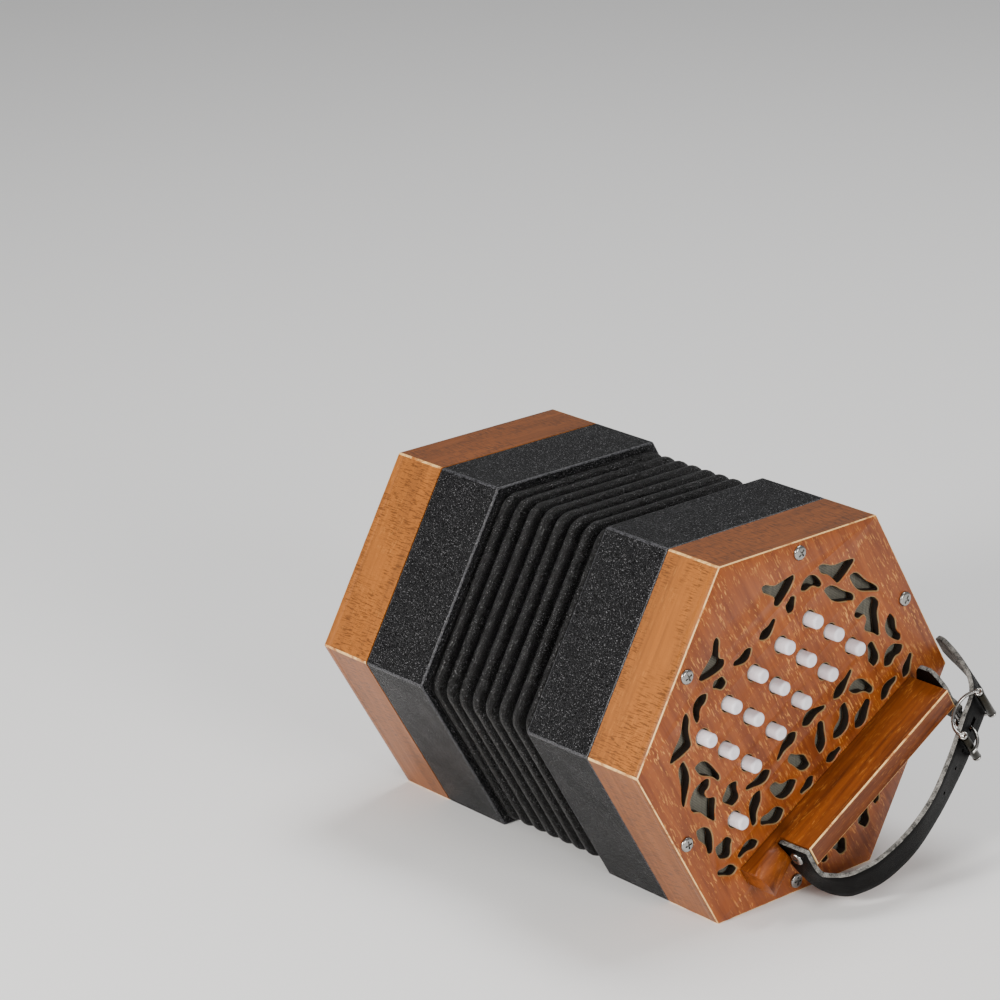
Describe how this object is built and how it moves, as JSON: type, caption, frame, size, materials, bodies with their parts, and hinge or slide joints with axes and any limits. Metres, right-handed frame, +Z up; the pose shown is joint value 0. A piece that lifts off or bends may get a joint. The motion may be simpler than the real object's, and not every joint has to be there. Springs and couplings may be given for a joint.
{
  "type": "concertina",
  "caption": "Hexagonal concertina: two fretted wooden ends with round buttons, hand rails and buckled straps, joined by a pleated leather bellows.",
  "frame": {"origin": "on the surface the instrument rests on, under the middle of its box", "axes": "+X along the bellows towards the right-hand end, +Z up; one flat of the hexagon is down"},
  "size_m": [0.315, 0.2214, 0.178],
  "materials": {
    "stained_wood": "satin varnish over stained figured wood",
    "pale_wood": "bare sanded softwood",
    "black_leatherette": "pebbled black book cloth with a soft gloss",
    "bellows_leather": "black leather, glossier along the ridges",
    "black_leather": "smooth black strap leather",
    "flesh_leather": "rough mottled back and cut edge of the strap leather",
    "white_pearl": "polished pearly white",
    "dark_nickel": "dulled nickel plate",
    "bright_nickel": "bright nickel plate",
    "baffle_cloth": "plain woven grey-olive cloth"
  },
  "bodies": {
    "right_end": {"right_end_plate": "stained_wood", "right_end_frame": "stained_wood", "right_bellows_casing": "black_leatherette", "right_action_board": "pale_wood", "right_reed_pan": "pale_wood", "right_hand_rail": "stained_wood", "right_hand_strap": "black_leather", "right_buckle_strap": "black_leather", "right_buckle": "dark_nickel"},
    "left_end": {"left_end_plate": "stained_wood", "left_end_frame": "stained_wood", "left_bellows_casing": "black_leatherette", "left_action_board": "pale_wood", "left_reed_pan": "pale_wood", "left_hand_rail": "stained_wood", "left_hand_strap": "black_leather", "left_buckle_strap": "black_leather", "left_buckle": "dark_nickel"},
    "fold_1": {"bellows_fold_1": "bellows_leather"},
    "fold_2": {"bellows_fold_2": "bellows_leather"},
    "fold_3": {"bellows_fold_3": "bellows_leather"},
    "fold_4": {"bellows_fold_4": "bellows_leather"},
    "fold_5": {"bellows_fold_5": "bellows_leather"},
    "fold_6": {"bellows_fold_6": "bellows_leather"},
    "fold_7": {"bellows_fold_7": "bellows_leather"},
    "fold_8": {"bellows_fold_8": "bellows_leather"},
    "right_button_1": {"right_button_1": "white_pearl"},
    "right_button_2": {"right_button_2": "white_pearl"},
    "right_button_3": {"right_button_3": "white_pearl"},
    "right_button_4": {"right_button_4": "white_pearl"},
    "right_button_5": {"right_button_5": "white_pearl"},
    "right_button_6": {"right_button_6": "white_pearl"},
    "right_button_7": {"right_button_7": "white_pearl"},
    "right_button_8": {"right_button_8": "white_pearl"},
    "right_button_9": {"right_button_9": "white_pearl"},
    "right_button_10": {"right_button_10": "white_pearl"},
    "right_button_11": {"right_button_11": "white_pearl"},
    "right_button_12": {"right_button_12": "white_pearl"},
    "right_button_13": {"right_button_13": "white_pearl"},
    "right_button_14": {"right_button_14": "white_pearl"},
    "right_button_15": {"right_button_15": "white_pearl"},
    "left_button_1": {"left_button_1": "white_pearl"},
    "left_button_2": {"left_button_2": "white_pearl"},
    "left_button_3": {"left_button_3": "white_pearl"},
    "left_button_4": {"left_button_4": "white_pearl"},
    "left_button_5": {"left_button_5": "white_pearl"},
    "left_button_6": {"left_button_6": "white_pearl"},
    "left_button_7": {"left_button_7": "white_pearl"},
    "left_button_8": {"left_button_8": "white_pearl"},
    "left_button_9": {"left_button_9": "white_pearl"},
    "left_button_10": {"left_button_10": "white_pearl"},
    "left_button_11": {"left_button_11": "white_pearl"},
    "left_button_12": {"left_button_12": "white_pearl"},
    "left_button_13": {"left_button_13": "white_pearl"},
    "left_button_14": {"left_button_14": "white_pearl"},
    "left_button_15": {"left_button_15": "white_pearl"},
    "right_air_button": {"right_air_button": "white_pearl"},
    "right_buckle_prong": {"right_buckle_prong": "dark_nickel"},
    "left_buckle_prong": {"left_buckle_prong": "dark_nickel"}
  },
  "joints": [
    {"name": "bellows", "type": "slide", "parent": "left_end", "child": "fold_1", "axis": [1, 0, 0], "range_m": [-0.0023, 0.0082]},
    {"name": "bellows_fold_2_slide", "type": "slide", "parent": "fold_1", "child": "fold_2", "axis": [1, 0, 0], "range_m": [-0.0046, 0.0164]},
    {"name": "bellows_fold_3_slide", "type": "slide", "parent": "fold_2", "child": "fold_3", "axis": [1, 0, 0], "range_m": [-0.0046, 0.0164]},
    {"name": "bellows_fold_4_slide", "type": "slide", "parent": "fold_3", "child": "fold_4", "axis": [1, 0, 0], "range_m": [-0.0046, 0.0164]},
    {"name": "bellows_fold_5_slide", "type": "slide", "parent": "fold_4", "child": "fold_5", "axis": [1, 0, 0], "range_m": [-0.0046, 0.0164]},
    {"name": "bellows_fold_6_slide", "type": "slide", "parent": "fold_5", "child": "fold_6", "axis": [1, 0, 0], "range_m": [-0.0046, 0.0164]},
    {"name": "bellows_fold_7_slide", "type": "slide", "parent": "fold_6", "child": "fold_7", "axis": [1, 0, 0], "range_m": [-0.0046, 0.0164]},
    {"name": "bellows_fold_8_slide", "type": "slide", "parent": "fold_7", "child": "fold_8", "axis": [1, 0, 0], "range_m": [-0.0046, 0.0164]},
    {"name": "right_end_slide", "type": "slide", "parent": "fold_8", "child": "right_end", "axis": [1, 0, 0], "range_m": [-0.0023, 0.0082]},
    {"name": "right_button_1_press", "type": "slide", "parent": "right_end", "child": "right_button_1", "axis": [-1, 0, 0], "range_m": [0, 0.004], "stiffness_N_per_m": 200, "springref_m": -0.001},
    {"name": "right_button_2_press", "type": "slide", "parent": "right_end", "child": "right_button_2", "axis": [-1, 0, 0], "range_m": [0, 0.004], "stiffness_N_per_m": 200, "springref_m": -0.001},
    {"name": "right_button_3_press", "type": "slide", "parent": "right_end", "child": "right_button_3", "axis": [-1, 0, 0], "range_m": [0, 0.004], "stiffness_N_per_m": 200, "springref_m": -0.001},
    {"name": "right_button_4_press", "type": "slide", "parent": "right_end", "child": "right_button_4", "axis": [-1, 0, 0], "range_m": [0, 0.004], "stiffness_N_per_m": 200, "springref_m": -0.001},
    {"name": "right_button_5_press", "type": "slide", "parent": "right_end", "child": "right_button_5", "axis": [-1, 0, 0], "range_m": [0, 0.004], "stiffness_N_per_m": 200, "springref_m": -0.001},
    {"name": "right_button_6_press", "type": "slide", "parent": "right_end", "child": "right_button_6", "axis": [-1, 0, 0], "range_m": [0, 0.004], "stiffness_N_per_m": 200, "springref_m": -0.001},
    {"name": "right_button_7_press", "type": "slide", "parent": "right_end", "child": "right_button_7", "axis": [-1, 0, 0], "range_m": [0, 0.004], "stiffness_N_per_m": 200, "springref_m": -0.001},
    {"name": "right_button_8_press", "type": "slide", "parent": "right_end", "child": "right_button_8", "axis": [-1, 0, 0], "range_m": [0, 0.004], "stiffness_N_per_m": 200, "springref_m": -0.001},
    {"name": "right_button_9_press", "type": "slide", "parent": "right_end", "child": "right_button_9", "axis": [-1, 0, 0], "range_m": [0, 0.004], "stiffness_N_per_m": 200, "springref_m": -0.001},
    {"name": "right_button_10_press", "type": "slide", "parent": "right_end", "child": "right_button_10", "axis": [-1, 0, 0], "range_m": [0, 0.004], "stiffness_N_per_m": 200, "springref_m": -0.001},
    {"name": "right_button_11_press", "type": "slide", "parent": "right_end", "child": "right_button_11", "axis": [-1, 0, 0], "range_m": [0, 0.004], "stiffness_N_per_m": 200, "springref_m": -0.001},
    {"name": "right_button_12_press", "type": "slide", "parent": "right_end", "child": "right_button_12", "axis": [-1, 0, 0], "range_m": [0, 0.004], "stiffness_N_per_m": 200, "springref_m": -0.001},
    {"name": "right_button_13_press", "type": "slide", "parent": "right_end", "child": "right_button_13", "axis": [-1, 0, 0], "range_m": [0, 0.004], "stiffness_N_per_m": 200, "springref_m": -0.001},
    {"name": "right_button_14_press", "type": "slide", "parent": "right_end", "child": "right_button_14", "axis": [-1, 0, 0], "range_m": [0, 0.004], "stiffness_N_per_m": 200, "springref_m": -0.001},
    {"name": "right_button_15_press", "type": "slide", "parent": "right_end", "child": "right_button_15", "axis": [-1, 0, 0], "range_m": [0, 0.004], "stiffness_N_per_m": 200, "springref_m": -0.001},
    {"name": "left_button_1_press", "type": "slide", "parent": "left_end", "child": "left_button_1", "axis": [1, 0, 0], "range_m": [0, 0.004], "stiffness_N_per_m": 200, "springref_m": -0.001},
    {"name": "left_button_2_press", "type": "slide", "parent": "left_end", "child": "left_button_2", "axis": [1, 0, 0], "range_m": [0, 0.004], "stiffness_N_per_m": 200, "springref_m": -0.001},
    {"name": "left_button_3_press", "type": "slide", "parent": "left_end", "child": "left_button_3", "axis": [1, 0, 0], "range_m": [0, 0.004], "stiffness_N_per_m": 200, "springref_m": -0.001},
    {"name": "left_button_4_press", "type": "slide", "parent": "left_end", "child": "left_button_4", "axis": [1, 0, 0], "range_m": [0, 0.004], "stiffness_N_per_m": 200, "springref_m": -0.001},
    {"name": "left_button_5_press", "type": "slide", "parent": "left_end", "child": "left_button_5", "axis": [1, 0, 0], "range_m": [0, 0.004], "stiffness_N_per_m": 200, "springref_m": -0.001},
    {"name": "left_button_6_press", "type": "slide", "parent": "left_end", "child": "left_button_6", "axis": [1, 0, 0], "range_m": [0, 0.004], "stiffness_N_per_m": 200, "springref_m": -0.001},
    {"name": "left_button_7_press", "type": "slide", "parent": "left_end", "child": "left_button_7", "axis": [1, 0, 0], "range_m": [0, 0.004], "stiffness_N_per_m": 200, "springref_m": -0.001},
    {"name": "left_button_8_press", "type": "slide", "parent": "left_end", "child": "left_button_8", "axis": [1, 0, 0], "range_m": [0, 0.004], "stiffness_N_per_m": 200, "springref_m": -0.001},
    {"name": "left_button_9_press", "type": "slide", "parent": "left_end", "child": "left_button_9", "axis": [1, 0, 0], "range_m": [0, 0.004], "stiffness_N_per_m": 200, "springref_m": -0.001},
    {"name": "left_button_10_press", "type": "slide", "parent": "left_end", "child": "left_button_10", "axis": [1, 0, 0], "range_m": [0, 0.004], "stiffness_N_per_m": 200, "springref_m": -0.001},
    {"name": "left_button_11_press", "type": "slide", "parent": "left_end", "child": "left_button_11", "axis": [1, 0, 0], "range_m": [0, 0.004], "stiffness_N_per_m": 200, "springref_m": -0.001},
    {"name": "left_button_12_press", "type": "slide", "parent": "left_end", "child": "left_button_12", "axis": [1, 0, 0], "range_m": [0, 0.004], "stiffness_N_per_m": 200, "springref_m": -0.001},
    {"name": "left_button_13_press", "type": "slide", "parent": "left_end", "child": "left_button_13", "axis": [1, 0, 0], "range_m": [0, 0.004], "stiffness_N_per_m": 200, "springref_m": -0.001},
    {"name": "left_button_14_press", "type": "slide", "parent": "left_end", "child": "left_button_14", "axis": [1, 0, 0], "range_m": [0, 0.004], "stiffness_N_per_m": 200, "springref_m": -0.001},
    {"name": "left_button_15_press", "type": "slide", "parent": "left_end", "child": "left_button_15", "axis": [1, 0, 0], "range_m": [0, 0.004], "stiffness_N_per_m": 200, "springref_m": -0.001},
    {"name": "right_air_button_press", "type": "slide", "parent": "right_end", "child": "right_air_button", "axis": [-1, 0, 0], "range_m": [0, 0.004], "stiffness_N_per_m": 200, "springref_m": -0.001},
    {"name": "right_prong_hinge", "type": "hinge", "parent": "right_end", "child": "right_buckle_prong", "pos_m": [0.13891, 0.07865, 0.07023], "axis": [0.1507, -0.6426, 0.7513], "range_deg": [0, 40]},
    {"name": "left_prong_hinge", "type": "hinge", "parent": "left_end", "child": "left_buckle_prong", "pos_m": [-0.13891, 0.07865, 0.07023], "axis": [0.1507, 0.6426, -0.7513], "range_deg": [0, 40]}
  ],
  "couplings": [
    {"joint": "bellows_fold_2_slide", "follows": "bellows", "ratio": 2},
    {"joint": "bellows_fold_3_slide", "follows": "bellows", "ratio": 2},
    {"joint": "bellows_fold_4_slide", "follows": "bellows", "ratio": 2},
    {"joint": "bellows_fold_5_slide", "follows": "bellows", "ratio": 2},
    {"joint": "bellows_fold_6_slide", "follows": "bellows", "ratio": 2},
    {"joint": "bellows_fold_7_slide", "follows": "bellows", "ratio": 2},
    {"joint": "bellows_fold_8_slide", "follows": "bellows", "ratio": 2},
    {"joint": "right_end_slide", "follows": "bellows", "ratio": 1}
  ]
}
